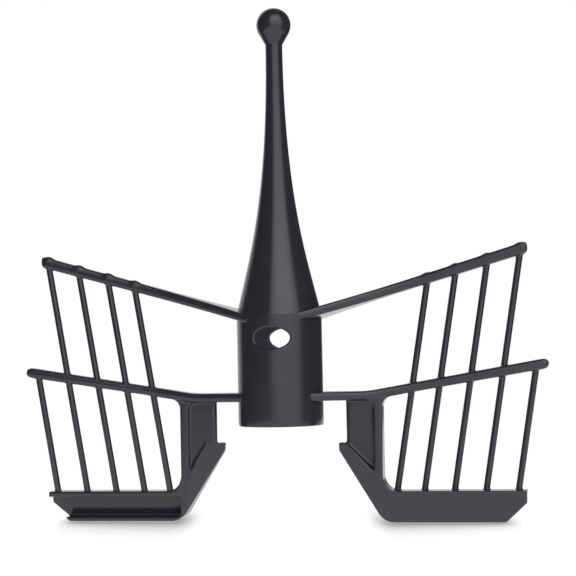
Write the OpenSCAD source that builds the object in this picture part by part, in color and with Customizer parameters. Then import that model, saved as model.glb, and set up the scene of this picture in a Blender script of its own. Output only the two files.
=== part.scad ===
// Two-winged mixing paddle with a central drive hub, a tapered mast and a ball knob.
// Each wing is an upper bar, a lower bar, a bracket, a scraper blade and five round tines.
// The axis of the hub is Z, the scraper blades stand on z = 0, and one wing points along +X.
// The wing along -X is the same wing turned half round the axis.
// The face of the +X wing that looks along -Y is its leading face, and the other is its trailing face.

/* [Hub] */
// Outer radius of the hub
hub_r = 17; // [15:0.5:19]
// Height of the hub's lower rim above the floor
hub_bottom = 37.9; // [36:0.1:40]
// Height of the joint between the hub and the mast
hub_top = 82; // [80:0.1:84]
// Radius of the rounded lower rim
hub_rim = 0.6; // [0.2:0.1:0.8]
// Wall thickness of the hub
hub_wall = 2; // [1.8:0.1:2.4]

/* [Cross hole] */
// Height of the middle of the oval hole through the hub
hole_z = 72.7; // [72:0.1:73.4]
// Half of the oval hole's width
hole_half_w = 7.3; // [6:0.1:8]
// Half of the oval hole's height
hole_half_h = 4.2; // [3.5:0.1:4.5]

/* [Drive bush] */
// Height of the bush inside the hub
bush_h = 22; // [21:1:24]
// Outer radius of the bush's sleeve
sleeve_r = 10.6; // [10.5:0.1:12]
// Number of ribs between the sleeve and the hub's wall
rib_count = 8; // [4:2:12]
// Radius of the shaft bore in the bush
bore_r = 8; // [6:0.5:8]
// Depth of the shaft bore from below
bore_depth = 19; // [14:1:20]
// Number of key grooves in the shaft bore
groove_count = 4; // [2:1:4]

/* [Mast] */
// Radius of the mast just under the knob
mast_r = 3.4; // [3.2:0.1:4]
// Height of the top of the mast
mast_top = 190.7; // [185:0.1:196]
// Radius of the ball knob
knob_r = 6.9; // [6:0.1:8]
// Height of the middle of the ball knob
knob_z = 198.7; // [198:0.1:201]

/* [Bars] */
// Distance from the axis to the end of the upper bar
upper_end = 98.8; // [98:0.2:100]
// Thickness of the upper bar at its end
upper_thick = 4.2; // [3.6:0.1:4.4]
// Slope of the upper bar, as rise over run
upper_slope = 0.287; // [0.27:0.001:0.3]
// Distance from the axis to the end of the lower bar
lower_end = 106.2; // [105:0.2:108]
// Thickness of the sloping part of the lower bar
lower_thick = 3.8; // [3.4:0.1:4]
// Slope of the lower bar beyond its bend, as rise over run
lower_slope = 0.163; // [0.15:0.001:0.18]
// Half of the width of both bars beyond their flared roots
bar_half_w = 2.4; // [2.2:0.1:2.8]

/* [Tines] */
// Diameter of a tine
tine_d = 2.6; // [2.2:0.1:2.8]
// Sideways lean of the tines, as run over rise
tine_lean = 0.165; // [0.15:0.001:0.18]
// Diameter of the low dome over each long tine, on the upper bar
dome_d = 4.3; // [3.6:0.1:4.6]
// Height of the dome
dome_h = 0.8; // [0.6:0.1:1.2]

/* [Scraper blade] */
// Distance from the axis to the outer end of the blade
blade_end = 96.8; // [96:0.2:99]
// Height of the blade's upper edge
blade_h = 12.2; // [11.5:0.1:13]
// Depth of the blade's leading face in front of the axis
blade_front = 6.6; // [6:0.1:7]
// Height of the upper end of the diagonal strap
strap_top = 31.2; // [30:0.1:32]

/* [Hidden] */

// Colour of the moulded parts and of the bush
dark_plastic = [0.2, 0.2, 0.22];
bush_plastic = [0.27, 0.27, 0.29];

// Fineness of round surfaces and of arcs inside outlines
fine = 64;
arc_steps = 8;

// A cut runs this far past the surface that it cuts
past = 1;
// Free play between a tine, a peg or a tongue and its seat
play = 0.03;
// Larger than any part, for half spaces
huge = 300;

// Hub interior
bush_recess = 1;
chamber_top = 78.7;
boss_r = 10.5;
boss_h = 11;

// Drive bush details
rib_w = 1.6;
bush_chamfer = 0.6;
groove_w = 2.6;
groove_depth = 1.3;

// Mast outline: a curve from the hub's radius to the mast's top radius.
// It leaves the hub at rim_slope and runs in parallel to the axis at the top.
mast_steps = 22;
rim_slope = 0.23;
lower_pull = 21;
upper_pull = 63;
core_wall = 3;
core_top_r = 1.6;
core_top = 150;

// Knob: a ball that runs down into a cone over the mast's top
knob_cone = 30;
peg_r = 1.9;
peg_h = 8;

// Places of the tines: distance from the axis at the height tine_ref
tine_ref = 40;
tine_x = [50.7, 61.4, 73.2, 85.5];
short_tine_x = 98;
tine_y = 0.5;
seat_depth = 1.7;
// The long tines end this far under the upper bar's top face.
cap_h = 1.2;

// Bars. Each is given by a point on its middle line.
bar_ref_x = 80;
upper_ref_z = 100.75;
lower_ref_z = 56.7;
upper_root_thick = 3.1;
lower_root_thick = 3.3;
lower_root_z = 49.4;
bend_r = 34;
// Both bars widen on an arc from flare_x in to the hub, and end in a tongue in its wall.
root_x = 9.5;
tongue_cover = 0.2;
flare_x = 60;
flare_steps = 14;
upper_flare_r = 115;
lower_flare_r = 150;
// The upper bar is pitched about its own length, with its leading edge raised.
upper_pitch = 1.8;
upper_end_round = 1.2;
// The domes reach this far into the bar.
dome_sink = 0.5;

// Bracket: an upright post and a thinner recessed web on its inner side
post_in = 37.7;
post_out = 41.2;
post_back = 2.2;
post_front_top = 3.8;
post_foot = 20;
web_in = 26.4;
web_front = 2;
web_back = 0.8;
web_corner_r = 3.3;
window_top_r = 3.9;
corner_reach = 8;

// Scraper blade
blade_lip = 1.3;
lip_h = 1.7;
rail_back = 2.8;
rail_h = 2.2;
panel_back = -2;
panel_bend = [-2.7, 5.7];
panel_bend_r = 24;
panel_foot = -4.4;
cove_r = 0.6;
end_flat = 7.5;
end_corner_x = 88.7;
strap_in = 23.8;
strap_end_z = 28.1;
strap_slope = 1.594;
heel_r = 7.4;
window_bottom_r = 5.5;
channel_in = 41.6;
channel_r = 2.2;
// Where the strap's upper edge starts on its top, on the leading and on the trailing side
strap_lead_x = 26.6;
strap_trail_x = 30.7;
// The leading face of the strap is shaved by a plane that turns about a crease.
crease_low = [38, 5.7];
crease_high = [30.8, 26.1];
crease_tilt = 16;
// The trailing face of the strap falls away to a thinner lower edge: its depth grows with x and with z.
shave_x = 0.415;
shave_z = 0.109;
shave_at_end = -2;

// Corner i of an outline [x, y, r] replaced by an arc of radius r, or kept where r is 0
function corner(pts, i) =
    let (
        n = len(pts),
        p = [pts[i][0], pts[i][1]],
        before = pts[(i + n - 1) % n],
        after = pts[(i + 1) % n],
        a = [before[0], before[1]] - p,
        b = [after[0], after[1]] - p,
        ua = a / norm(a),
        ub = b / norm(b),
        r = pts[i][2],
        turn = acos(ua * ub),
        middle = p + (ua + ub) / norm(ua + ub) * r / sin(turn / 2),
        from = p + ua * r / tan(turn / 2) - middle,
        to = p + ub * r / tan(turn / 2) - middle,
        start = atan2(from[1], from[0]),
        sweep_raw = atan2(to[1], to[0]) - start,
        sweep = sweep_raw > 180 ? sweep_raw - 360 : sweep_raw < -180 ? sweep_raw + 360 : sweep_raw
    )
    r == 0
        ? [p]
        : [for (k = [0:arc_steps]) middle + r * [cos(start + sweep * k / arc_steps), sin(start + sweep * k / arc_steps)]];

function rounded(pts) = [for (i = [0:len(pts) - 1]) for (q = corner(pts, i)) q];

// Middle lines of the bars
upper_tilt = atan(upper_slope);
lower_tilt = atan(lower_slope);
function upper_z(x) = upper_ref_z + upper_slope * (x - bar_ref_x);
function lower_z(x) = lower_ref_z + lower_slope * (x - bar_ref_x);
function lower_under(x) = lower_z(x) - lower_thick / 2 / cos(lower_tilt);
bend_x = bar_ref_x + (lower_root_z - lower_ref_z) / lower_slope;
root_under = lower_root_z - lower_root_thick / 2;

// Half of the upper bar's thickness at a distance along it from its reference point
upper_root_s = (root_x - bar_ref_x) / cos(upper_tilt);
upper_end_s = (upper_end - bar_ref_x) / cos(upper_tilt);
function upper_half(s) =
    let (t = (s - upper_root_s) / (upper_end_s - upper_root_s))
    (upper_root_thick * (1 - t) + upper_thick * t) / 2;

// Where a long tine's axis crosses the upper bar's middle line
function cross_x(i) = (upper_z(0) - tine_ref + tine_x[i] / tine_lean) / (1 / tine_lean - upper_slope);
// Height at which that tine ends
function tine_top(i) = upper_z(cross_x(i)) + upper_half(0) / cos(upper_tilt) - cap_h;

// Half width of a flared bar at a distance x from the axis
function flare(x, r) =
    x >= flare_x ? bar_half_w : bar_half_w + r - sqrt(r * r - (flare_x - x) * (flare_x - x));

// Mast outline as a cubic curve from the hub joint up to the top
mast_a = [hub_r, hub_top];
mast_b = [hub_r - rim_slope * lower_pull, hub_top + lower_pull];
mast_c = [mast_r, mast_top - upper_pull];
mast_d = [mast_r, mast_top];
function mast_point(t) =
    pow(1 - t, 3) * mast_a + 3 * t * pow(1 - t, 2) * mast_b + 3 * t * t * (1 - t) * mast_c + pow(t, 3) * mast_d;

// Extrudes an outline drawn in (x, z) from y0 to y1
module slab(y0, y1) {
    translate([0, y1, 0])
        rotate([90, 0, 0])
            linear_extrude(y1 - y0)
                children();
}

// Extrudes an outline drawn in (y, z) from x0 to x1
module run(x0, x1) {
    translate([x0, 0, 0])
        rotate([90, 0, 90])
            linear_extrude(x1 - x0)
                children();
}

// Turns a right wing part into the left wing part
module wing(side) {
    rotate([0, 0, side == "left" ? 180 : 0])
        children();
}

// A straight round rod along a tine's axis between two heights
module tine_rod(x, z0, z1, d) {
    lean = atan(tine_lean);
    translate([x + tine_lean * (z0 - tine_ref), tine_y, z0])
        rotate([0, lean, 0])
            cylinder(h = (z1 - z0) / cos(lean), d = d, $fn = fine);
}

// Bores for the four long tines, from the height z0 upwards
module tine_bores(z0) {
    for (i = [0:3])
        tine_rod(tine_x[i], z0, tine_top(i) + play, tine_d + 2 * play);
}

// Draws in the upper bar's own frame: X runs along the bar, Z stands square to its top face
module along_upper_bar() {
    translate([bar_ref_x, 0, upper_ref_z])
        rotate([0, -upper_tilt, 0])
            rotate([-upper_pitch, 0, 0])
                children();
}

// Plan outline of a bar: a flared root that narrows on an arc to a straight bar
module bar_plan(end_x, r, extra) {
    xs = [for (k = [0:flare_steps]) root_x + (flare_x - root_x) * k / flare_steps];
    polygon(concat(
        [for (x = xs) [x, -flare(x, r) - extra]],
        [[end_x + past, -bar_half_w - extra], [end_x + past, bar_half_w + extra]],
        [for (k = [flare_steps:-1:0]) [xs[k], flare(xs[k], r) + extra]]
    ));
}

// Cuts a bar's side shape to its plan outline and ends it inside the hub's wall
module bar_from_side(end_x, r, extra) {
    difference() {
        intersection() {
            children();
            linear_extrude(mast_top)
                bar_plan(end_x, r, extra);
        }
        cylinder(h = mast_top, r = hub_r - hub_wall + tongue_cover - extra, $fn = fine * 2);
    }
}

// The upper bar, or its seat where extra is the play round it
module upper_bar_solid(extra) {
    root = upper_half(upper_root_s) + extra;
    end = upper_half(upper_end_s) + extra;
    lean = end * tan(upper_tilt);
    bar_from_side(upper_end, upper_flare_r, extra)
        along_upper_bar()
            slab(-2 * hub_r, 2 * hub_r)
                polygon(rounded([
                    [upper_root_s, -root, 0],
                    [upper_end_s - lean, -end, upper_end_round],
                    [upper_end_s + lean, end, upper_end_round / 2],
                    [upper_root_s, root, 0]
                ]));
}

// Side outline of the lower bar: level at its root, sloping beyond the bend, with a round outer end
module lower_side(extra) {
    end_r = lower_thick / 2;
    end_x = lower_end - end_r;
    root = lower_root_thick / 2 + extra;
    drop = [sin(lower_tilt), -cos(lower_tilt)] * (end_r + extra);
    end_low = [end_x, lower_z(end_x)] + drop;
    end_high = [end_x, lower_z(end_x)] - drop;
    polygon(rounded([
        [0, lower_root_z - root, 0],
        [bend_x, lower_root_z - root, bend_r - end_r],
        [end_low[0], end_low[1], 0],
        [end_high[0], end_high[1], 0],
        [bend_x, lower_root_z + root, bend_r + end_r],
        [0, lower_root_z + root, 0]
    ]));
    translate([end_x, lower_z(end_x)])
        circle(r = end_r + extra, $fn = fine);
}

module lower_bar_solid(extra) {
    bar_from_side(lower_end, lower_flare_r, extra)
        slab(-2 * hub_r, 2 * hub_r)
            lower_side(extra);
}

module hub() {
    color(dark_plastic)
    difference() {
        union() {
            rotate_extrude($fn = fine * 2)
                polygon(rounded([
                    [0, hub_bottom, 0],
                    [hub_r, hub_bottom, hub_rim],
                    [hub_r, hub_top, 0],
                    [0, hub_top, 0]
                ]));
            translate([0, 0, hub_top - past])
                cylinder(h = boss_h + past, r = boss_r, $fn = fine * 2);
        }
        // Socket for the drive bush, with the chamber of the cross hole above it
        translate([0, 0, hub_bottom - past])
            cylinder(h = chamber_top - hub_bottom + past, r = hub_r - hub_wall, $fn = fine * 2);
        // Oval hole right through
        slab(-hub_r - past, hub_r + past)
            polygon([for (a = [0:7.5:352.5]) [hole_half_w * cos(a), hole_z + hole_half_h * sin(a)]]);
        // Seats of the four bar tongues
        for (side = ["right", "left"])
            wing(side) {
                upper_bar_solid(play);
                lower_bar_solid(play);
            }
    }
}

// Sleeve with the shaft bore, ribs out to the hub's wall, and a disc over the top
module drive_bush() {
    z0 = hub_bottom + bush_recess;
    bush_r = hub_r - hub_wall - play;
    color(bush_plastic)
    difference() {
        union() {
            translate([0, 0, z0])
                cylinder(h = bush_h, r = sleeve_r, $fn = fine * 2);
            translate([0, 0, z0 + bore_depth])
                cylinder(h = bush_h - bore_depth, r = bush_r, $fn = fine * 2);
            intersection() {
                for (k = [0:rib_count - 1])
                    rotate([0, 0, 360 / rib_count * k])
                        translate([bore_r + groove_depth / 2, -rib_w / 2, z0])
                            cube([hub_r, rib_w, bush_h]);
                translate([0, 0, z0])
                    cylinder(h = bush_h, r = bush_r, $fn = fine * 2);
            }
        }
        translate([0, 0, z0 - past])
            cylinder(h = bore_depth + past, r = bore_r, $fn = fine * 2);
        translate([0, 0, z0 - play])
            cylinder(h = bush_chamfer + play, r1 = bore_r + bush_chamfer, r2 = bore_r, $fn = fine * 2);
        for (k = [0:groove_count - 1])
            rotate([0, 0, 360 / groove_count * (k + 0.5)])
                translate([0, -groove_w / 2, z0 - past])
                    cube([bore_r + groove_depth, groove_w, bore_depth + past]);
    }
}

module mast() {
    outer = [for (k = [0:mast_steps]) mast_point(k / mast_steps)];
    core_foot = hub_top + boss_h;
    color(dark_plastic)
    difference() {
        rotate_extrude($fn = fine * 2)
            polygon(concat([[0, hub_top]], outer, [[0, mast_top]]));
        // Seat on the hub's boss, and the tapered core above it
        translate([0, 0, hub_top - past])
            cylinder(h = boss_h + past, r = boss_r + play, $fn = fine * 2);
        translate([0, 0, core_foot - play])
            cylinder(h = core_top - core_foot, r1 = boss_r - core_wall / 2, r2 = core_top_r, $fn = fine);
        // Seat of the knob's peg
        translate([0, 0, mast_top - peg_h])
            cylinder(h = peg_h + past, r = peg_r + play, $fn = fine);
        // Upper halves of the seats of the upper bars
        for (side = ["right", "left"])
            wing(side)
                upper_bar_solid(play);
    }
}

module ball_knob() {
    // The cone leaves the ball where it is tangent to it
    touch_r = knob_r * cos(knob_cone);
    touch_z = knob_z - knob_r * sin(knob_cone);
    cone_foot_z = max(mast_top, touch_z - (touch_r - mast_r) / tan(knob_cone));
    color(dark_plastic)
    union() {
        rotate_extrude($fn = fine * 2)
            polygon(concat(
                [[0, mast_top], [mast_r, mast_top], [mast_r, cone_foot_z]],
                [for (a = [-knob_cone:6:90]) [knob_r * cos(a), knob_z + knob_r * sin(a)]]
            ));
        translate([0, 0, mast_top - peg_h + play])
            cylinder(h = peg_h + past, r = peg_r, $fn = fine);
    }
}

module upper_bar(side) {
    color(dark_plastic)
    wing(side)
        difference() {
            union() {
                upper_bar_solid(0);
                for (i = [0:3])
                    tine_dome((cross_x(i) - bar_ref_x) / cos(upper_tilt));
            }
            tine_bores(tine_ref);
        }
}

// Low dome over a tine, at a distance s along the upper bar from its reference point
module tine_dome(s) {
    base_r = dome_d / 2;
    ball_r = (base_r * base_r + dome_h * dome_h) / 2 / dome_h;
    along_upper_bar()
        translate([s, tine_y, upper_half(s) + dome_h - ball_r])
            intersection() {
                sphere(r = ball_r, $fn = fine);
                translate([0, 0, ball_r - dome_h - dome_sink])
                    cylinder(h = dome_h + dome_sink + past, r = base_r, $fn = fine);
            }
}

module lower_bar(side) {
    color(dark_plastic)
    wing(side)
        difference() {
            lower_bar_solid(0);
            tine_bores(tine_ref);
            tine_rod(short_tine_x, tine_ref, lower_z(short_tine_x), tine_d + 2 * play);
        }
}

// The bracket stands on the blade and carries the lower bar on its top.
module bracket(side) {
    web_r = (web_front + web_back) / 2;
    color(dark_plastic)
    wing(side)
        difference() {
            union() {
                // Post with rounded corners under the bar, whose leading face comes forward downwards
                intersection() {
                    run(post_in - corner_reach, post_out + corner_reach)
                        polygon([
                            [-blade_front, post_foot],
                            [post_back, post_foot],
                            [post_back, tine_ref + corner_reach * 2],
                            [-post_front_top, tine_ref + corner_reach * 2],
                            [-post_front_top, root_under]
                        ]);
                    slab(-hub_r, hub_r)
                        polygon(rounded([
                            [post_in, post_foot, 0],
                            [post_out, post_foot, 0],
                            [post_out, lower_under(post_out), window_top_r],
                            [post_out + corner_reach, lower_under(post_out + corner_reach), 0],
                            [post_out + corner_reach, lower_z(post_out + corner_reach), 0],
                            [post_in - corner_reach, lower_root_z, 0],
                            [post_in - corner_reach, root_under, 0],
                            [post_in, root_under, web_corner_r]
                        ]));
                }
                // Recessed web with a round inner edge
                intersection() {
                    slab(-hub_r, hub_r)
                        polygon([
                            [web_in, strap_top],
                            [strap_lead_x, strap_top],
                            [post_in, post_foot],
                            [post_in, lower_root_z],
                            [web_in, lower_root_z]
                        ]);
                    linear_extrude(mast_top) {
                        translate([web_in + web_r, web_back - web_r])
                            circle(r = web_r, $fn = fine);
                        translate([web_in + web_r, -web_front])
                            square([post_in - web_in - web_r, 2 * web_r]);
                    }
                }
            }
            // The place of the lower bar, over its full depth
            slab(-2 * hub_r, 2 * hub_r)
                lower_side(0);
        }
}

// Front outline of the blade: strap, heel, and foot with a cut-off outer corner.
// The strap's upper edge starts at strap_x on its top and ends at the post.
module blade_outline(strap_x) {
    heel_x = strap_in + strap_end_z / strap_slope;
    polygon(rounded([
        [strap_in, strap_end_z, 0],
        [heel_x, 0, heel_r],
        [end_corner_x, 0, 0],
        [blade_end, end_flat, 0],
        [blade_end, blade_h, 0],
        [post_out, blade_h, window_bottom_r],
        [post_out, post_foot, 0],
        [post_in, post_foot, 0],
        [strap_x, strap_top, 0],
        [strap_in, strap_top, 0]
    ]));
}

// Half space in front of the strap's leading face, inward of the crease
module crease_cut() {
    turn = atan2(crease_high[0] - crease_low[0], crease_high[1] - crease_low[1]);
    translate([crease_low[0], -blade_front, crease_low[1]])
        rotate([0, turn, 0])
            rotate([0, 0, -crease_tilt])
                translate([-huge, -huge, -huge / 2])
                    cube(huge);
}

// Half space behind the strap's trailing face
module shave_cut() {
    length = norm([shave_x, 1, shave_z]);
    translate([strap_in, shave_at_end, strap_end_z])
        rotate([-asin(shave_z / length), 0, atan(shave_x)])
            translate([-huge / 2, 0, -huge / 2])
                cube(huge);
}

// Channel along the trailing side of the foot, between the rail and the lip. Its wall leans over the lip.
module channel_cut() {
    channel_top = blade_h - rail_h;
    intersection() {
        run(channel_in, blade_end + past)
            polygon(rounded([
                [panel_back, channel_top, 0],
                [panel_bend[0], panel_bend[1], panel_bend_r],
                [panel_foot, lip_h, cove_r],
                [hub_r, lip_h, 0],
                [hub_r, channel_top, 0]
            ]));
        slab(-hub_r, 2 * hub_r)
            polygon(rounded([
                [channel_in, lip_h, channel_r],
                [blade_end + 2 * past, lip_h, 0],
                [blade_end + 2 * past, channel_top, 0],
                [channel_in, channel_top, channel_r]
            ]));
    }
}

module scraper(side) {
    heel_end = post_out + window_bottom_r;
    color(dark_plastic)
    wing(side)
        difference() {
            union() {
                // Leading wall and lip
                slab(-blade_front, blade_lip)
                    blade_outline(strap_lead_x);
                // The strap and the heel reach back to the post's trailing face and lap over the web
                intersection() {
                    slab(web_back, post_back)
                        blade_outline(strap_trail_x);
                    translate([0, -hub_r, 0])
                        cube([heel_end, 2 * hub_r, huge]);
                }
                // Top rail
                intersection() {
                    slab(-blade_front, rail_back)
                        blade_outline(strap_lead_x);
                    translate([post_out, -hub_r, blade_h - rail_h])
                        cube([blade_end, 2 * hub_r, window_bottom_r + rail_h]);
                }
            }
            channel_cut();
            crease_cut();
            shave_cut();
            tine_bores(blade_h - seat_depth);
            tine_rod(short_tine_x, blade_h - seat_depth, tine_ref, tine_d + 2 * play);
        }
}

module long_tine(side, i) {
    color(dark_plastic)
    wing(side)
        tine_rod(tine_x[i - 1], blade_h - seat_depth, tine_top(i - 1), tine_d);
}

module short_tine(side) {
    color(dark_plastic)
    wing(side)
        tine_rod(short_tine_x, blade_h - seat_depth, lower_z(short_tine_x), tine_d);
}

hub();
drive_bush();
mast();
ball_knob();
for (side = ["right", "left"]) {
    upper_bar(side);
    lower_bar(side);
    bracket(side);
    scraper(side);
    short_tine(side);
    for (i = [1:4])
        long_tine(side, i);
}
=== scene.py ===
import math
import bmesh
import bpy
from mathutils import Matrix, Vector
from mathutils.bvhtree import BVHTree


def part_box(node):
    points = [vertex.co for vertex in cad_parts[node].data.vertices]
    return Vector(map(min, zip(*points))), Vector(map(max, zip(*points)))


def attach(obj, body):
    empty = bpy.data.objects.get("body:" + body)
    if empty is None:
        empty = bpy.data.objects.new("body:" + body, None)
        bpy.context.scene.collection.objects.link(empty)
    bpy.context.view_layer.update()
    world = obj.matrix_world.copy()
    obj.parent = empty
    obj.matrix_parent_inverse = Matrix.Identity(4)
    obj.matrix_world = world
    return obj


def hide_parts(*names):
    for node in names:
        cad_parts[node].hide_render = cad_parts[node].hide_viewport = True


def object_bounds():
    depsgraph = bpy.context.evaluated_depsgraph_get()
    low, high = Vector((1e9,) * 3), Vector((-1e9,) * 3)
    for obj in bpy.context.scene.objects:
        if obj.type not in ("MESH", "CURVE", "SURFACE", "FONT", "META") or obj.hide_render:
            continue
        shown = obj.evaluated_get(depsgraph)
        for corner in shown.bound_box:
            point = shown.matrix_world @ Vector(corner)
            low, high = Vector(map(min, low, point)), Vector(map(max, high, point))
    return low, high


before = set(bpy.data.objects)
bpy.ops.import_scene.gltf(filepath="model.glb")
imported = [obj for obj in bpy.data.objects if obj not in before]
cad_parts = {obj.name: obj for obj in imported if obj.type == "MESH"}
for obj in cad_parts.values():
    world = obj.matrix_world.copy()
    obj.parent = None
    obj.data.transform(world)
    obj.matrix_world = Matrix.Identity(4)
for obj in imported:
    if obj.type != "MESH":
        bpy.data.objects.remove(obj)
cad_lo, cad_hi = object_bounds()
MM = 0.001
scene = bpy.context.scene
scene.view_settings.view_transform = "Standard"
centre = (cad_lo + cad_hi) / 2


# ---------------------------------------------------------------- materials

CLOUD_SCALE = 60        # noise cells per metre of the clouds, the scuffed patches and the grain
PATCH_SCALE = 35
GRAIN_SCALE = 2200
SCUFF_SCALE = (260, 260, 2600)
SCUFF_TURN = (0.3, 0.2, 0.5)    # direction of the scuffs, as turns about X, Y and Z
SCUFF_RAMP = (0.66, 0.74)       # noise values between which a streak becomes a scuff
PATCH_RAMP = (0.5, 0.66)
DARK_CLOUD = (0.9, 0.9, 0.9)    # these three are shares of the plain tone
PALE_CLOUD = (1.1, 1.1, 1.1)
SCUFF_TONE = (2.2, 2.2, 2.1)
SCUFF_COVER = 0.25      # how far a scuff changes the tone, and how much rougher it is
SCUFF_ROUGH = 0.06
CLOUD_RAMP = (0.3, 0.7)
CLOUD_ROUGH = 0.02      # how far the clouds move the roughness either way
GRAIN_STRENGTH = 0.04
GRAIN_DEPTH = 0.00001   # in metres


class Nodes:
    """A short way to add and link shader nodes in one tree."""

    def __init__(self, tree):
        self.tree = tree
        tree.nodes.clear()

    def add(self, kind, inputs=None, **settings):
        made = self.tree.nodes.new(kind)
        for key, value in settings.items():
            setattr(made, key, value)
        for key, value in (inputs or {}).items():
            self.put(made.inputs[key], value)
        return made

    def put(self, socket, value):
        if isinstance(value, bpy.types.NodeSocket):
            self.tree.links.new(value, socket)
        else:
            socket.default_value = value

    def math(self, operation, *values):
        made = self.add("ShaderNodeMath", operation=operation)
        for i, value in enumerate(values):
            self.put(made.inputs[i], value)
        return made.outputs[0]

    def ramp(self, value, low, high, to_low, to_high, smooth=False):
        made = self.add("ShaderNodeMapRange", interpolation_type="SMOOTHSTEP" if smooth else "LINEAR")
        for i, v in enumerate([value, low, high, to_low, to_high]):
            self.put(made.inputs[i], v)
        return made.outputs[0]

    def noise(self, place, scale, detail):
        made = self.add("ShaderNodeTexNoise", {"Vector": place, "Scale": scale, "Detail": detail})
        return made.outputs["Fac"]

    def mix(self, share, first, second):
        """One colour changed into another by share."""
        made = self.add("ShaderNodeMix", {"Factor": share}, data_type="RGBA")
        self.put(made.inputs["A"], first)
        self.put(made.inputs["B"], second)
        return made.outputs["Result"]


def grey(value):
    """A colour without hue."""
    return (value, value, value, 1)


def scaled(tone, shares):
    """A colour whose channels are shares of tone's."""
    return (tone[0] * shares[0], tone[1] * shares[1], tone[2] * shares[2], 1)


def plastic(name, tone, rough):
    """Satin moulded plastic with a faint grain, cloudy gloss, and sparse fine scuffs, paler and duller."""
    made = bpy.data.materials.new(name)
    made.use_nodes = True
    n = Nodes(made.node_tree)
    place = n.add("ShaderNodeTexCoord").outputs["Object"]
    cloud = n.noise(place, CLOUD_SCALE, detail=3)
    grain = n.noise(place, GRAIN_SCALE, detail=2)
    patch = n.noise(place, PATCH_SCALE, detail=1)
    drawn = n.add("ShaderNodeMapping", {"Vector": place, "Rotation": SCUFF_TURN, "Scale": SCUFF_SCALE})
    streak = n.noise(drawn.outputs["Vector"], scale=1, detail=2)
    scuff = n.math("MULTIPLY", n.ramp(streak, *SCUFF_RAMP, 0.0, 1.0), n.ramp(patch, *PATCH_RAMP, 0.0, 1.0))

    clean = n.mix(cloud, scaled(tone, DARK_CLOUD), scaled(tone, PALE_CLOUD))
    colour = n.mix(n.math("MULTIPLY", scuff, SCUFF_COVER), clean, scaled(tone, SCUFF_TONE))
    cloud_gloss = n.ramp(cloud, *CLOUD_RAMP, rough - CLOUD_ROUGH, rough + CLOUD_ROUGH)
    gloss = n.math("ADD", cloud_gloss, n.math("MULTIPLY", scuff, SCUFF_ROUGH))
    bump = n.add("ShaderNodeBump", {"Height": grain, "Strength": GRAIN_STRENGTH, "Distance": GRAIN_DEPTH})
    shader = n.add("ShaderNodeBsdfPrincipled", {
        "Base Color": colour,
        "Roughness": gloss,
        "Normal": bump.outputs["Normal"],
    })
    out = n.add("ShaderNodeOutputMaterial")
    n.put(out.inputs["Surface"], shader.outputs["BSDF"])
    return made


dark = plastic("paddle_plastic", tone=(0.0228, 0.0230, 0.0310), rough=0.18)
bush_look = plastic("bush_plastic", tone=(0.035, 0.035, 0.037), rough=0.3)


# ---------------------------------------------------------------- shapes
# Meshes are made in millimetres in the row frame, and scaled to metres when they become pieces.

WELD = 0.0005           # CAD vertices closer than this are one
VOXEL = 0.25            # grid of the softened mouldings
SLIVER = 0.02           # vertices closer than this are merged along a cut
MEND_ROUNDS = 3
SOFTEN_PASSES = 22      # smoothing passes, which round an edge to about 0.6 mm
BAR_PASSES = 110        # more of them for the bars, whose edges are rounder
BAR_SWELL = 0.17        # makes up for what the bars lose by that
BORE_MARGIN = 0.1       # how far past a tine's radius the faces of its bore may lie
AROUND = 192            # sides of a turned solid
ON_AXIS = 1e-6          # a radius below this is a point on the axis


def cad_mesh(node):
    """The CAD node's mesh in millimetres, welded."""
    bm = bmesh.new()
    bm.from_mesh(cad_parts[node].data)
    bmesh.ops.scale(bm, vec=(1 / MM,) * 3, verts=bm.verts)
    bmesh.ops.remove_doubles(bm, verts=bm.verts, dist=WELD)
    return bm


def to_object(bm, name):
    """A scene object in millimetres, for modifiers."""
    mesh = bpy.data.meshes.new(name)
    bm.to_mesh(mesh)
    bm.free()
    made = bpy.data.objects.new(name, mesh)
    scene.collection.objects.link(made)
    return made


def copy_of(obj, name):
    """A second object with its own copy of obj's mesh."""
    made = bpy.data.objects.new(name, obj.data.copy())
    scene.collection.objects.link(made)
    return made


def drop(obj):
    bpy.data.objects.remove(obj)


def applied(obj):
    """Replaces obj's mesh by its mesh with the modifiers applied."""
    bpy.context.view_layer.update()
    depsgraph = bpy.context.evaluated_depsgraph_get()
    mesh = bpy.data.meshes.new_from_object(obj.evaluated_get(depsgraph))
    obj.modifiers.clear()
    obj.data = mesh
    return obj


def combine(obj, other, operation):
    """Joins other to obj, cuts it from obj, or keeps what they share."""
    mod = obj.modifiers.new("combine", "BOOLEAN")
    mod.operation = operation
    mod.solver = "MANIFOLD"
    mod.object = other
    return applied(obj)


def swell(obj, by):
    """Moves a smooth surface outwards."""
    mod = obj.modifiers.new("swell", "DISPLACE")
    mod.mid_level = 0
    mod.strength = by
    applied(obj)
    obj.data.shade_smooth()


def thin_out(obj, share):
    """Leaves that share of obj's faces."""
    mod = obj.modifiers.new("thin", "DECIMATE")
    mod.ratio = share
    applied(obj)
    obj.data.shade_smooth()
    return obj


def take_normals(obj, source):
    """Gives obj the normals of source, of which it is a part, so that no seam shows between the parts."""
    mod = obj.modifiers.new("normals", "DATA_TRANSFER")
    mod.object = source
    mod.use_loop_data = True
    mod.data_types_loops = {"CUSTOM_NORMAL"}
    mod.loop_mapping = "POLYINTERP_NEAREST"
    return applied(obj)


def shade(obj, crease):
    """Smooth shading, with sharp edges where faces meet at more than crease degrees."""
    obj.data.shade_smooth()
    obj.data.set_sharp_from_angle(angle=math.radians(crease))
    return obj


def piece(obj, node, material):
    """Turns a millimetre object into a finished piece that stands for one CAD node."""
    obj.data.transform(Matrix.Scale(MM, 4))
    obj.name = node + "_skin"
    obj.data.name = obj.name
    obj.data.materials.clear()
    obj.data.materials.append(material)
    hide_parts(node)
    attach(obj, "root")


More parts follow.
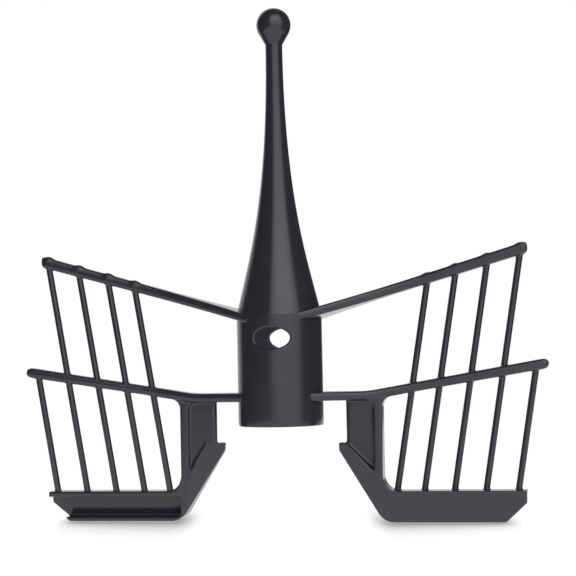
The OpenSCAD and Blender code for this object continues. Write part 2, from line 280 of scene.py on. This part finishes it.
def turned(obj):
    """A copy of obj turned half round the axis: the left wing's part from the right wing's."""
    mesh = obj.data.copy()
    normals = [Vector((-n.vector[0], -n.vector[1], n.vector[2])) for n in mesh.corner_normals]
    mesh.transform(Matrix.Rotation(math.pi, 4, "Z"))
    mesh.normals_split_custom_set(normals)
    made = bpy.data.objects.new(obj.name, mesh)
    scene.collection.objects.link(made)
    return made


def off_line(spot, start, along):
    """Distance of a spot from the line through start in the unit direction along."""
    return ((spot - start) - along * (spot - start).dot(along)).length


def tine_axis(node):
    """Ends and radius of a tine, from its CAD mesh."""
    bm = cad_mesh(node)
    spots = [v.co.copy() for v in bm.verts]
    bm.free()
    middle = (min(p.z for p in spots) + max(p.z for p in spots)) / 2
    foot = [p for p in spots if p.z < middle]
    head = [p for p in spots if p.z >= middle]
    a = sum(foot, Vector()) / len(foot)
    b = sum(head, Vector()) / len(head)
    along = (b - a).normalized()
    radius = max(off_line(p, a, along) for p in foot)
    return a, b, radius


def close_bores(bm, axes):
    """Removes the faces of each tine's bore and closes the mesh over them."""
    lining = []
    for face in bm.faces:
        for a, b, radius in axes:
            along = (b - a).normalized()
            if all(off_line(v.co, a, along) < radius + BORE_MARGIN for v in face.verts):
                lining.append(face)
                break
    bmesh.ops.delete(bm, geom=lining, context="FACES")
    rim = [e for e in bm.edges if e.is_boundary]
    bmesh.ops.holes_fill(bm, edges=rim, sides=0)
    bmesh.ops.delete(bm, geom=[v for v in bm.verts if not v.link_faces], context="VERTS")


def keep_largest(bm):
    """Removes every shell of a mesh except the one with the most vertices."""
    left = set(bm.verts)
    shells = []
    while left:
        seed = left.pop()
        shell = [seed]
        edge = [seed]
        while edge:
            v = edge.pop()
            for e in v.link_edges:
                w = e.other_vert(v)
                if w in left:
                    left.remove(w)
                    shell.append(w)
                    edge.append(w)
        shells.append(shell)
    shells.sort(key=len)
    bmesh.ops.delete(bm, geom=[v for s in shells[:-1] for v in s], context="VERTS")


def soften(obj, passes=SOFTEN_PASSES, grid=VOXEL):
    """Remeshes obj on a fine grid, keeps its outer skin and rounds its edges."""
    remesh = obj.modifiers.new("grid", "REMESH")
    remesh.mode = "VOXEL"
    remesh.voxel_size = grid
    applied(obj)
    bm = bmesh.new()
    bm.from_mesh(obj.data)
    keep_largest(bm)
    bm.to_mesh(obj.data)
    bm.free()
    smooth = obj.modifiers.new("round", "SMOOTH")
    smooth.factor = 0.5
    smooth.iterations = passes
    applied(obj)
    obj.data.shade_smooth()
    return obj


def mend(obj):
    """Merges the slivers along a cut, keeps the main shell and closes what is left open."""
    bm = bmesh.new()
    bm.from_mesh(obj.data)
    bmesh.ops.triangulate(bm, faces=bm.faces)
    bmesh.ops.remove_doubles(bm, verts=bm.verts, dist=SLIVER)
    bmesh.ops.dissolve_degenerate(bm, edges=bm.edges, dist=SLIVER / 4)
    for _ in range(MEND_ROUNDS):
        crowded = [e for e in bm.edges if len(e.link_faces) > 2]
        around = {f for e in crowded for v in e.verts for f in v.link_faces}
        bmesh.ops.delete(bm, geom=list(around), context="FACES")
        bmesh.ops.delete(bm, geom=[e for e in bm.edges if not e.link_faces], context="EDGES")
        keep_largest(bm)
        bmesh.ops.holes_fill(bm, edges=[e for e in bm.edges if e.is_boundary], sides=0)
        bmesh.ops.triangulate(bm, faces=bm.faces)
    bm.to_mesh(obj.data)
    bm.free()


def skin(bm, rings):
    """Faces between rings of equally many vertices."""
    for low, high in zip(rings, rings[1:]):
        for k in range(len(low)):
            j = (k + 1) % len(low)
            bm.faces.new((low[k], low[j], high[j], high[k]))


def prism(name, outline, depth):
    """A closed prism over an (x, z) outline, from y = -depth to depth."""
    bm = bmesh.new()
    front = [bm.verts.new((x, -depth, z)) for x, z in outline]
    back = [bm.verts.new((x, depth, z)) for x, z in outline]
    skin(bm, [front, back])
    bm.faces.new(front)
    bm.faces.new(back[::-1])
    bmesh.ops.recalc_face_normals(bm, faces=bm.faces)
    return to_object(bm, name)


def arc(cx, cz, r, start, end, steps):
    """Points (x, z) on an arc, with its angles in degrees."""
    spots = []
    for k in range(steps + 1):
        a = math.radians(start + (end - start) * k / steps)
        spots.append((cx + r * math.cos(a), cz + r * math.sin(a)))
    return spots


def lathe(name, outline):
    """A closed solid of revolution. The outline is (r, z) pairs that start and end on the axis."""
    bm = bmesh.new()
    rings = []
    for r, z in outline:
        if r < ON_AXIS:
            rings.append([bm.verts.new((0, 0, z))])
        else:
            ring = []
            for k in range(AROUND):
                a = 2 * math.pi * k / AROUND
                ring.append(bm.verts.new((r * math.cos(a), r * math.sin(a), z)))
            rings.append(ring)
    for low, high in zip(rings, rings[1:]):
        for k in range(AROUND):
            j = (k + 1) % AROUND
            corners = []
            for v in (low[k % len(low)], low[j % len(low)], high[j % len(high)], high[k % len(high)]):
                if v not in corners:
                    corners.append(v)
            bm.faces.new(corners)
    bmesh.ops.recalc_face_normals(bm, faces=bm.faces)
    return to_object(bm, name)


# ---------------------------------------------------------------- wings

LONG_TINES = 4
TINES = [f"tine_{k + 1}" for k in range(LONG_TINES)] + ["short_tine"]
axes = [tine_axis("right_" + t) for t in TINES]

DOME_R = 2.2            # radius of a dome's rim
DOME_H = 0.85           # height of a dome over the bar
DOME_ROOT = 1.2         # how far the added body of a dome reaches into the bar
DOME_STEPS = 10
DOME_PASSES = 6         # smoothing passes after the domes are joined
TOP_FACE = 0.85         # the bar's top faces have a normal whose Z is above this


def wing_node(node):
    """The right wing's node as an object without the tines' bores. The edges of a bar are rounded."""
    bm = cad_mesh("right_" + node)
    close_bores(bm, axes)
    part = to_object(bm, node)
    if node.endswith("bar"):
        soften(part, BAR_PASSES)
        swell(part, BAR_SWELL)
    return part


def fused(nodes):
    """The right wing's nodes as one object."""
    whole = wing_node(nodes[0])
    for node in nodes[1:]:
        part = wing_node(node)
        combine(whole, part, "UNION")
        drop(part)
    return whole


def dome_places():
    """The tops of the domes on the right upper bar, and the direction square to the bar's top face."""
    bm = cad_mesh("right_upper_bar")
    up = sum((f.normal * f.calc_area() for f in bm.faces if f.normal.z > TOP_FACE), Vector()).normalized()
    tops = []
    for _, head, _ in axes[:LONG_TINES]:
        near = [v.co.copy() for v in bm.verts if (v.co - head).length < DOME_R * 2]
        high = max(p.dot(up) for p in near)
        cap = [p for p in near if p.dot(up) > high - DOME_H / 3]
        top = sum(cap, Vector()) / len(cap)
        tops.append(top + up * (high - top.dot(up)))
    bm.free()
    return tops, up


def add_domes(obj):
    """Joins a low dome over each long tine to the rounded upper bar."""
    tops, up = dome_places()
    ball = (DOME_R ** 2 + DOME_H ** 2) / (2 * DOME_H)
    reach = math.degrees(math.asin(DOME_R / ball))
    root = -DOME_H - DOME_ROOT
    outline = [(0, root), (DOME_R, root)] + arc(0, -ball, ball, 90 - reach, 90, DOME_STEPS)
    outline[-1] = (0, 0)
    for top in tops:
        dome = lathe("dome", outline)
        dome.data.transform(Matrix.Translation(top) @ up.to_track_quat("Z", "Y").to_matrix().to_4x4())
        combine(obj, dome, "UNION")
        drop(dome)
    return soften(obj, DOME_PASSES)


upper = add_domes(wing_node("upper_bar"))
lower = soften(fused(["lower_bar", "bracket", "scraper"]))

# The fused lower moulding is parted again where its three nodes meet.
bracket_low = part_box("right_bracket")[0] / MM
bar_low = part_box("right_lower_bar")[0].z / MM
strap_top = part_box("right_scraper")[1].z / MM
foot = bracket_low.z    # the bracket's foot in the blade
web_in = bracket_low.x  # the web's free edge

CUT_IN = -20            # the parting line under the bar runs between these x, past both ends of the wing
CUT_OUT = 120
CUT_LOW = -20           # lowest z and half depth of the cutting prisms
CUT_DEPTH = 40
LINE_HEIGHTS = (-3.6, -0.1, 1.4, 7.1)   # the line's corners over the bar's lowest point, from root to tip
POST = 14.8             # the post's outside, from the web's free edge
LINE_BEND = 4.5         # the line bends this far past the post
AREA_IN = 1.0           # how far the bracket's area passes the web's free edge, and the post
AREA_OUT = 6.0
AREA_TOP_IN = -0.177    # its top at both ends, over the bar's lowest point
AREA_TOP_OUT = 1.5
STRAP_IN = 0.4          # along the strap it starts this far in from the web's free edge
STRAP_RISE = 1.4        # outside the web it ends this far over the strap
STRAP_OUT = 3.5         # and it meets the blade this far in from the post's outside

post_out = web_in + POST
line_x = [CUT_IN, web_in, post_out + LINE_BEND, CUT_OUT]
under_bar = [(x, bar_low + height) for x, height in zip(line_x, LINE_HEIGHTS)]
bracket_area = [
    (web_in - AREA_IN, bar_low + AREA_TOP_IN),
    (web_in - AREA_IN, strap_top + STRAP_RISE),
    (web_in + STRAP_IN, strap_top),
    (post_out - STRAP_OUT, foot),
    (post_out + AREA_OUT, foot),
    (post_out + AREA_OUT, bar_low + AREA_TOP_OUT),
]

below = prism("below_bar", [(CUT_IN, CUT_LOW), (CUT_OUT, CUT_LOW)] + under_bar[::-1], CUT_DEPTH)
inside = prism("bracket_area", bracket_area, CUT_DEPTH)
bar = combine(copy_of(lower, "bar"), below, "DIFFERENCE")
rest = combine(copy_of(lower, "rest"), below, "INTERSECT")
bracket = combine(copy_of(rest, "bracket"), inside, "INTERSECT")
scraper = combine(rest, inside, "DIFFERENCE")
for part in (bar, bracket, scraper):
    mend(part)
    part.data.shade_smooth()
    take_normals(part, lower)
drop(below)
drop(inside)


def surface_trees(objects):
    """A search tree of each object's surface."""
    found = []
    for obj in objects:
        bm = bmesh.new()
        bm.from_mesh(obj.data)
        found.append(BVHTree.FromBMesh(bm))
        bm.free()
    return found


trees = surface_trees([upper, lower])

FILLET = 0.55           # radius of the fillets at the ends of the tines
FILLET_ROOT = 0.3       # how far a fillet starts inside the moulding
FILLET_STEPS = 6
SETTLE = 2.5            # length over which a ring turns square to the tine again
TINE_AROUND = 32
NEXT_HIT = 0.05         # how far past a hit the search for the next one starts


def crossings(a, b):
    """Where the line from a to b goes through the mouldings: (distance, normal), in order."""
    along = (b - a).normalized()
    found = []
    for tree in trees:
        start = a.copy()
        while True:
            hit, normal, _, _ = tree.ray_cast(start, along, (b - start).length)
            if hit is None:
                break
            found.append(((hit - a).length, normal))
            start = hit + along * NEXT_HIT
    return sorted(found, key=lambda f: f[0])


def fillet_steps(radius):
    """The fillet's rings as (distance from the surface, ring radius), from inside the moulding outwards."""
    steps = [(-FILLET_ROOT, radius + FILLET)]
    for k in range(FILLET_STEPS + 1):
        d = FILLET * math.sin(math.pi / 2 * k / FILLET_STEPS)
        steps.append((d, radius + FILLET - math.sqrt(FILLET ** 2 - (FILLET - d) ** 2)))
    steps.append((FILLET + SETTLE / 2, radius))
    steps.append((FILLET + SETTLE, radius))
    return steps


def tine(name, a, b, radius):
    """A round tine with a small fillet wherever it enters or leaves a moulding."""
    along = (b - a).normalized()
    side = along.cross(Vector((0, 1, 0))).normalized()
    other = along.cross(side)

    # A ring is (distance along the tine, radius, surface normal, how far it tilts towards the surface).
    rings = [(0.0, radius, None, 0.0)]
    steps = fillet_steps(radius)
    for reach, normal in crossings(a, b):
        out = 1 if normal.dot(along) > 0 else -1
        for d, r in (steps if out > 0 else steps[::-1]):
            tilt = max(0.0, 1 - max(0.0, d - FILLET) / SETTLE)
            rings.append((reach + out * d, r, normal, tilt))
    rings.append(((b - a).length, radius, None, 0.0))

    bm = bmesh.new()
    made = []
    for s, r, normal, tilt in rings:
        ring = []
        for k in range(TINE_AROUND):
            angle = 2 * math.pi * k / TINE_AROUND
            spoke = side * math.cos(angle) + other * math.sin(angle)
            lift = 0.0
            if normal is not None:
                lift = -normal.dot(spoke) / normal.dot(along) * r * tilt
            ring.append(bm.verts.new(a + along * (s + lift) + spoke * r))
        made.append(ring)
    skin(bm, made)
    bm.faces.new(made[0][::-1])
    bm.faces.new(made[-1])
    bmesh.ops.recalc_face_normals(bm, faces=bm.faces)
    return shade(to_object(bm, name), crease=50)


right_parts = {"upper_bar": upper, "lower_bar": bar, "bracket": bracket, "scraper": scraper}
for t, (a, b, radius) in zip(TINES, axes):
    right_parts[t] = tine(t, a, b, radius)
drop(lower)
for node, obj in right_parts.items():
    left = turned(obj)
    piece(obj, "right_" + node, dark)
    piece(left, "left_" + node, dark)


# ---------------------------------------------------------------- hub

hub_low, hub_high = (Vector(c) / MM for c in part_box("hub"))
mast_low, mast_high = (Vector(c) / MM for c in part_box("mast"))
knob_low, knob_high = (Vector(c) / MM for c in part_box("ball_knob"))

HUB_R = hub_high.x
HUB_TOP = mast_low.z
WALL = 2.0              # thickness of the hub's wall
CHAMBER_TOP = HUB_TOP - 3.3
BOSS_R = 10.5           # radius of the boss that holds the mast
RIM = 0.6               # rounding of the lower rim outside, and bevel inside
RIM_BEVEL = 0.3
RIM_STEPS = 6
OUTER_ROWS = 12         # rows of faces from the rim up to the window, outside and inside
INNER_ROWS = 6
WINDOW_HEAD = 1.2       # height of the row of faces over the window

HOLE_Z = HUB_TOP - 9.3  # the oval cross hole: height of its middle, half width, half height
HOLE_W = 7.3
HOLE_H = 4.2
HOLE_ROUND = 0.9        # rounding of its outer edge
HOLE_STEPS = 6
WINDOW_W = 10.0         # the window of finer faces round the hole: half width, half height
WINDOW_H = 6.6
WINDOW_CELLS = 20
SIDE_CELLS = 44         # columns of faces from one window to the other
RING_SHARES = (0.3, 0.6, 0.85, 1.0)     # places of the rings between the window's rim and the oval
WINDOW_ROWS = [HOLE_Z - WINDOW_H + 2 * WINDOW_H * k / WINDOW_CELLS for k in range(WINDOW_CELLS + 1)]


def columns(r):
    """Angles of a wall's columns for radius r. They are spaced evenly in x across both windows."""
    across = [-WINDOW_W + 2 * WINDOW_W * k / WINDOW_CELLS for k in range(WINDOW_CELLS + 1)]
    front = [math.asin(x / r) - math.pi / 2 for x in across]
    span = math.pi - (front[-1] - front[0])
    side = [front[-1] + span * k / SIDE_CELLS for k in range(1, SIDE_CELLS)]
    half = front + side
    return half + [a + math.pi for a in half]


def rows_up(r, low, high, count):
    """The rows of a straight wall between two heights, both left out."""
    return [(r, low + (high - low) * k / count) for k in range(1, count)]


def wall(bm, r, foot_rows, head_rows):
    """A wall of radius r with both windows left open: its rows of vertices, and the windows' first row."""
    rows = foot_rows + [(r, z) for z in WINDOW_ROWS] + head_rows
    angles = columns(r)
    half = len(angles) // 2
    first = len(foot_rows)
    grid = []
    for row_r, z in rows:
        grid.append([bm.verts.new((row_r * math.cos(a), row_r * math.sin(a), z)) for a in angles])
    for i in range(len(rows) - 1):
        for k in range(len(angles)):
            in_window = first <= i < first + WINDOW_CELLS and k % half < WINDOW_CELLS
            if not in_window:
                j = (k + 1) % len(angles)
                bm.faces.new((grid[i][k], grid[i][j], grid[i + 1][j], grid[i + 1][k]))
    return grid, first


def window_rim(grid, first, back):
    """The vertices round a window, starting at its lower left corner."""
    n = WINDOW_CELLS
    start = len(grid[0]) // 2 if back else 0
    low = [grid[first][start + k] for k in range(n)]
    right = [grid[first + k][start + n] for k in range(n)]
    high = [grid[first + n][start + n - k] for k in range(n)]
    left = [grid[first + n - k][start] for k in range(n)]
    return low + right + high + left


def on_wall(x, z, r, back):
    """The spot on a wall of radius r at that x and z, as seen from the front or from the back."""
    y = math.sqrt(r * r - x * x)
    return Vector((-x, y, z)) if back else Vector((x, -y, z))


def rings_to_hole(bm, rim, r, back, grow):
    """Rings from a window's rim in to the oval widened by grow, and the oval's angle in each column."""
    spots = []
    for v in rim:
        x = -v.co.x if back else v.co.x
        t = math.atan2((v.co.z - HOLE_Z) / WINDOW_H, x / WINDOW_W)
        oval_x = (HOLE_W + grow) * math.cos(t)
        oval_z = HOLE_Z + (HOLE_H + grow) * math.sin(t)
        spots.append((x, v.co.z, oval_x, oval_z, t))
    rings = [rim]
    for share in RING_SHARES:
        ring = []
        for x, z, oval_x, oval_z, _ in spots:
            ring.append(bm.verts.new(on_wall(x + (oval_x - x) * share, z + (oval_z - z) * share, r, back)))
        rings.append(ring)
    return rings, [spot[-1] for spot in spots]


def hole_edge(bm, edge, angles, back):
    """Rings that round the hole's outer edge, from the wall's surface into the hole."""
    rings = []
    for step in range(1, HOLE_STEPS + 1):
        a = math.pi / 2 * step / HOLE_STEPS
        ring = []
        for v, t in zip(edge, angles):
            out = Vector((v.co.x, v.co.y, 0)).normalized()
            core = on_wall(HOLE_W * math.cos(t), HOLE_Z + HOLE_H * math.sin(t), HUB_R, back)
            aside = v.co - core
            aside = (aside - out * aside.dot(out)).normalized()
            middle = v.co - out * HOLE_ROUND
            spot = middle + out * HOLE_ROUND * math.cos(a) - aside * HOLE_ROUND * math.sin(a)
            ring.append(bm.verts.new(spot))
        rings.append(ring)
    return rings


def hub_mesh():
    """The hub: outer and inner walls with an oval hole through both, a ceiling, and a boss on top."""
    bm = bmesh.new()
    rim_low = hub_low.z
    inner_r = HUB_R - WALL
    outer_foot = arc(HUB_R - RIM, rim_low + RIM, RIM, -90, 0, RIM_STEPS)
    outer_foot += rows_up(HUB_R, rim_low + RIM, WINDOW_ROWS[0], OUTER_ROWS)
    outer_head = [(HUB_R, WINDOW_ROWS[-1] + WINDOW_HEAD), (HUB_R, HUB_TOP)]
    outer, outer_first = wall(bm, HUB_R, outer_foot, outer_head)
    inner_foot = [(inner_r + RIM_BEVEL, rim_low), (inner_r, rim_low + RIM_BEVEL)]
    inner_foot += rows_up(inner_r, rim_low + RIM_BEVEL, WINDOW_ROWS[0], INNER_ROWS)
    inner, inner_first = wall(bm, inner_r, inner_foot, [(inner_r, CHAMBER_TOP)])
    skin(bm, [outer[0], inner[0]])
    bm.faces.new(inner[-1])

    count = len(outer[0])
    turns = [2 * math.pi * k / count - math.pi / 2 for k in range(count)]
    boss = []
    for z in (HUB_TOP, hub_high.z):
        boss.append([bm.verts.new((BOSS_R * math.cos(a), BOSS_R * math.sin(a), z)) for a in turns])
    skin(bm, [outer[-1], boss[0], boss[1]])
    bm.faces.new(boss[1])

    for back in (False, True):
        rings, angles = rings_to_hole(bm, window_rim(outer, outer_first, back), HUB_R, back, HOLE_ROUND)
        rings += hole_edge(bm, rings[-1], angles, back)
        rings_in, _ = rings_to_hole(bm, window_rim(inner, inner_first, back), inner_r, back, 0.0)
        skin(bm, rings + rings_in[::-1])
    bmesh.ops.recalc_face_normals(bm, faces=bm.faces)
    return to_object(bm, "hub")


piece(shade(hub_mesh(), crease=35), "hub", dark)


# ---------------------------------------------------------------- mast, knob and bush

MAST_TOP_R = 3.4
MAST_SLOPE = 0.23       # how far the mast leans in at its foot for each millimetre up
FOOT_PULL = 21          # how far the curve's two handles reach from its ends
TOP_PULL = 63
MAST_STEPS = 60
MAST_SEAT = 1.5         # width of the ring on which the mast stands on the boss
CORE_TOP = HUB_TOP + 68     # the closed core's top, and its radius there
CORE_TOP_R = 1.6
PEG_R = 1.9
peg_foot = knob_low.z


def mast_curve():
    """The mast's side from foot to top: a cubic curve that leans in at the hub and is upright at the top."""
    a = Vector((HUB_R, HUB_TOP))
    d = Vector((MAST_TOP_R, mast_high.z))
    b = a + Vector((-MAST_SLOPE, 1)) * FOOT_PULL
    c = d - Vector((0, TOP_PULL))
    spots = []
    for k in range(MAST_STEPS + 1):
        t = k / MAST_STEPS
        p = a * (1 - t) ** 3 + b * 3 * t * (1 - t) ** 2 + c * 3 * t * t * (1 - t) + d * t ** 3
        spots.append((p.x, p.y))
    return spots


mast_side = mast_curve()
mast_seat = [(BOSS_R, HUB_TOP), (BOSS_R, hub_high.z), (BOSS_R - MAST_SEAT, hub_high.z)]
mast_outline = [(0, peg_foot), (PEG_R, peg_foot), (PEG_R, mast_high.z)] + mast_side[::-1]
mast_outline += mast_seat + [(CORE_TOP_R, CORE_TOP), (0, CORE_TOP)]
piece(shade(lathe("mast", mast_outline), crease=35), "mast", dark)

BALL_R = knob_high.x
BALL_Z = knob_high.z - BALL_R
BALL_STEPS = 40
CONE = 30               # the cone under the ball widens by this many degrees from upright
NECK_BEND_LOW = 0.25    # the bend from the neck into the cone starts this far under it
NECK_BEND_HIGH = 0.05   # and ends this far over it
NECK_BEND_OUT = 0.07


def knob_outline():
    """The knob from its peg's foot up: peg, neck, cone and ball."""
    neck_r = mast_side[-1][0]
    cone = math.radians(CONE)
    touch_r = BALL_R * math.cos(cone)
    touch_z = BALL_Z - BALL_R * math.sin(cone)
    cone_foot = touch_z - (touch_r - neck_r) / math.tan(cone)
    peg = [(0, peg_foot), (PEG_R, peg_foot), (PEG_R, mast_high.z)]
    neck = [(neck_r, mast_high.z), (neck_r, cone_foot - NECK_BEND_LOW)]
    bend = [(neck_r + NECK_BEND_OUT, cone_foot + NECK_BEND_HIGH)]
    ball = arc(0, BALL_Z, BALL_R, -CONE, 90, BALL_STEPS)
    ball[-1] = (0, ball[-1][1])
    return peg + neck + bend + ball


piece(shade(lathe("knob", knob_outline()), crease=40), "ball_knob", dark)

BUSH_GRID = 0.35        # grid and smoothing passes of the bush
BUSH_PASSES = 3
BUSH_SHARE = 0.5        # share of its faces that are kept

bush = soften(to_object(cad_mesh("drive_bush"), "bush"), BUSH_PASSES, BUSH_GRID)
piece(thin_out(bush, BUSH_SHARE), "drive_bush", bush_look)


# ---------------------------------------------------------------- floor

FLOOR_SIDE = 0.34       # from here on lengths are in metres
FLOOR_FRONT = -0.6
FLOOR_BACK = 0.9
FLOOR_GAP = 0.00002     # the floor lies this far under the object
FLOOR_GLOW = 1.06       # brightness of the open floor to the camera, and to the object
FLOOR_LIGHT = 1.1
SHADOW_REACH = 0.12     # how far the wings shade the floor
SHADOW_SIDE = 0.006     # half the width over which a shadow fades out past the ends of a foot
SHADOW_FALL = 11        # direction that the shadows fall in, in degrees from -Y
SHADOW_SPREAD = 0.005   # how far they reach past a foot's inner end, under the slope of the bracket
SHADOW_DEPTH = 0.68     # how much darker the floor is where it is well covered
COVERED = 0.64          # open share of the sky that counts as well covered, and as open
OPEN = 0.92


def foot_span():
    """How far from the axis the right wing's foot starts and ends, where it meets the floor."""
    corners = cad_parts["right_scraper"].data.vertices
    spots = [v.co.x for v in corners if v.co.z < cad_lo.z + MM]
    return min(spots), max(spots)


def shadow(n):
    """How much darker a spot of the floor is: ambient shade, kept to the width of each wing's foot."""
    sky = n.add("ShaderNodeAmbientOcclusion", {"Distance": SHADOW_REACH}, samples=32).outputs["AO"]
    place = n.add("ShaderNodeSeparateXYZ", {"Vector": n.add("ShaderNodeTexCoord").outputs["Object"]})
    fall = math.radians(SHADOW_FALL)
    along_x = n.math("MULTIPLY", place.outputs["X"], math.cos(fall))
    along_y = n.math("MULTIPLY", place.outputs["Y"], math.sin(fall))
    across = n.math("ABSOLUTE", n.math("ADD", along_x, along_y))
    foot_in, foot_out = foot_span()
    foot_in -= SHADOW_SPREAD
    inner = n.ramp(across, foot_in - SHADOW_SIDE, foot_in + SHADOW_SIDE, 0.0, 1.0, True)
    outer = n.ramp(across, foot_out - SHADOW_SIDE, foot_out + SHADOW_SIDE, 1.0, 0.0, True)
    return n.math("MULTIPLY", n.ramp(sky, COVERED, OPEN, SHADOW_DEPTH, 0.0), n.math("MULTIPLY", inner, outer))


def floor_plane():
    """A white floor that glows: with soft shadows to the camera, and evenly to the object."""
    mesh = bpy.data.meshes.new("floor")
    corners = [(-FLOOR_SIDE, FLOOR_FRONT, 0), (FLOOR_SIDE, FLOOR_FRONT, 0),
               (FLOOR_SIDE, FLOOR_BACK, 0), (-FLOOR_SIDE, FLOOR_BACK, 0)]
    mesh.from_pydata(corners, [], [(0, 1, 2, 3)])
    made = bpy.data.objects.new("floor", mesh)
    scene.collection.objects.link(made)
    made.location.z = cad_lo.z - FLOOR_GAP
    white = bpy.data.materials.new("floor_white")
    white.use_nodes = True
    n = Nodes(white.node_tree)
    glow = n.math("SUBTRACT", FLOOR_GLOW, shadow(n))
    seen = n.add("ShaderNodeLightPath").outputs["Is Camera Ray"]
    level = n.ramp(seen, 0, 1, FLOOR_LIGHT, glow)
    shader = n.add("ShaderNodeEmission", {"Color": grey(1), "Strength": level})
    out = n.add("ShaderNodeOutputMaterial")
    n.put(out.inputs["Surface"], shader.outputs["Emission"])
    mesh.materials.append(white)


# ---------------------------------------------------------------- light

FRONT_MIDDLE = 28       # the wide front light's middle, in degrees from -Y toward +X, and its half width
FRONT_HALF = 47
FRONT_SIDES = 4.0       # a higher power makes its sides harder
FRONT_RISE = (0, 38)    # it grows brighter between these elevations
FRONT_LEVELS = (1.15, 2.5)
FRONT_FADE = (42, 76)   # and fades out between these
BACKDROP_MIDDLE = -29   # the white backdrop's middle, in degrees from +Y toward +X, and its half width
BACKDROP_HALF = 42
BACKDROP_IN = 22        # its sides fade over these degrees inside and outside its half width
BACKDROP_OUT = 4
BACKDROP_LEVEL = 0.85
BACKDROP_FADE = (35, 65)
SURROUND = 0.06         # how bright the rest of the room is
CHAMBER_POWER = 0.0105  # of the small light in the hub, in watts
CHAMBER_RADIUS = 0.004


def studio_world():
    """A wide light in front, a white backdrop to the back left, and plain white to the camera itself."""
    world = bpy.data.worlds.new("studio")
    scene.world = world
    world.use_nodes = True
    n = Nodes(world.node_tree)
    split = n.add("ShaderNodeSeparateXYZ", {"Vector": n.add("ShaderNodeTexCoord").outputs["Generated"]})
    x, y, z = split.outputs
    up = n.math("DEGREES", n.math("ARCSINE", z))

    across = n.math("DEGREES", n.math("ARCTAN2", x, n.math("MULTIPLY", y, -1.0)))
    off = n.math("DIVIDE", n.math("SUBTRACT", across, FRONT_MIDDLE), FRONT_HALF)
    off = n.math("POWER", n.math("ABSOLUTE", off), FRONT_SIDES)
    front = n.math("MAXIMUM", n.math("SUBTRACT", 1.0, off), 0.0)
    front = n.math("MULTIPLY", front, n.ramp(up, *FRONT_RISE, *FRONT_LEVELS))
    front = n.math("MULTIPLY", front, n.ramp(up, *FRONT_FADE, 1.0, 0.0, True))

    around = n.math("DEGREES", n.math("ARCTAN2", x, y))
    aside = n.math("ABSOLUTE", n.math("SUBTRACT", around, BACKDROP_MIDDLE))
    back = n.ramp(aside, BACKDROP_HALF - BACKDROP_IN, BACKDROP_HALF + BACKDROP_OUT, BACKDROP_LEVEL, 0.0, True)
    back = n.math("MULTIPLY", back, n.ramp(up, *BACKDROP_FADE, 1.0, 0.0, True))

    strength = n.math("ADD", SURROUND, n.math("ADD", front, back))
    seen = n.add("ShaderNodeLightPath").outputs["Is Camera Ray"]
    level = n.ramp(seen, 0, 1, strength, 1.0)
    ground = n.add("ShaderNodeBackground", {"Color": grey(1), "Strength": level})
    out = n.add("ShaderNodeOutputWorld")
    n.put(out.inputs["Surface"], ground.outputs["Background"])


def softbox(name, azimuth, elevation, distance, width, height, radiance):
    """A rectangular light that faces the object. Azimuth 0 is in front, and positive to the right."""
    light = bpy.data.lights.new(name, "AREA")
    light.shape = "RECTANGLE"
    light.size = width
    light.size_y = height
    light.energy = radiance * width * height * math.pi
    made = bpy.data.objects.new(name, light)
    scene.collection.objects.link(made)
    a = math.radians(azimuth)
    e = math.radians(elevation)
    away = Vector((math.sin(a) * math.cos(e), -math.cos(a) * math.cos(e), math.sin(e)))
    made.location = centre + away * distance
    made.rotation_euler = away.to_track_quat("Z", "Y").to_euler()
    made.visible_camera = False


def chamber_fill():
    """A small round light in the hub's chamber, so that its wall can be seen through the cross hole."""
    light = bpy.data.lights.new("chamber", "POINT")
    light.shadow_soft_size = CHAMBER_RADIUS
    light.energy = CHAMBER_POWER
    made = bpy.data.objects.new("chamber", light)
    scene.collection.objects.link(made)
    made.location = (0, 0, HOLE_Z * MM)
    made.visible_camera = False
    made.visible_glossy = False


floor_plane()
studio_world()
softbox("key", azimuth=28, elevation=36, distance=1.6, width=1.0, height=0.5, radiance=0.2)
chamber_fill()


# ---------------------------------------------------------------- camera

CAMERA_PLACE = (0.1288, -0.6429, 0.0670)
CAMERA_TURN = 11        # in degrees: to the left of +Y, up from straight down, and round the line of sight
CAMERA_TILT = 92.248
CAMERA_ROLL = -1.147
SENSOR = 36             # both in millimetres
LENS = 102.45

camera_data = bpy.data.cameras.new("camera")
camera_data.sensor_width = SENSOR
camera_data.lens = LENS
camera_data.clip_start = 0.02
camera = bpy.data.objects.new("camera", camera_data)
scene.collection.objects.link(camera)
camera.matrix_world = (
    Matrix.Translation(CAMERA_PLACE)
    @ Matrix.Rotation(math.radians(CAMERA_TURN), 4, "Z")
    @ Matrix.Rotation(math.radians(CAMERA_TILT), 4, "X")
    @ Matrix.Rotation(math.radians(CAMERA_ROLL), 4, "Z")
)
scene.camera = camera
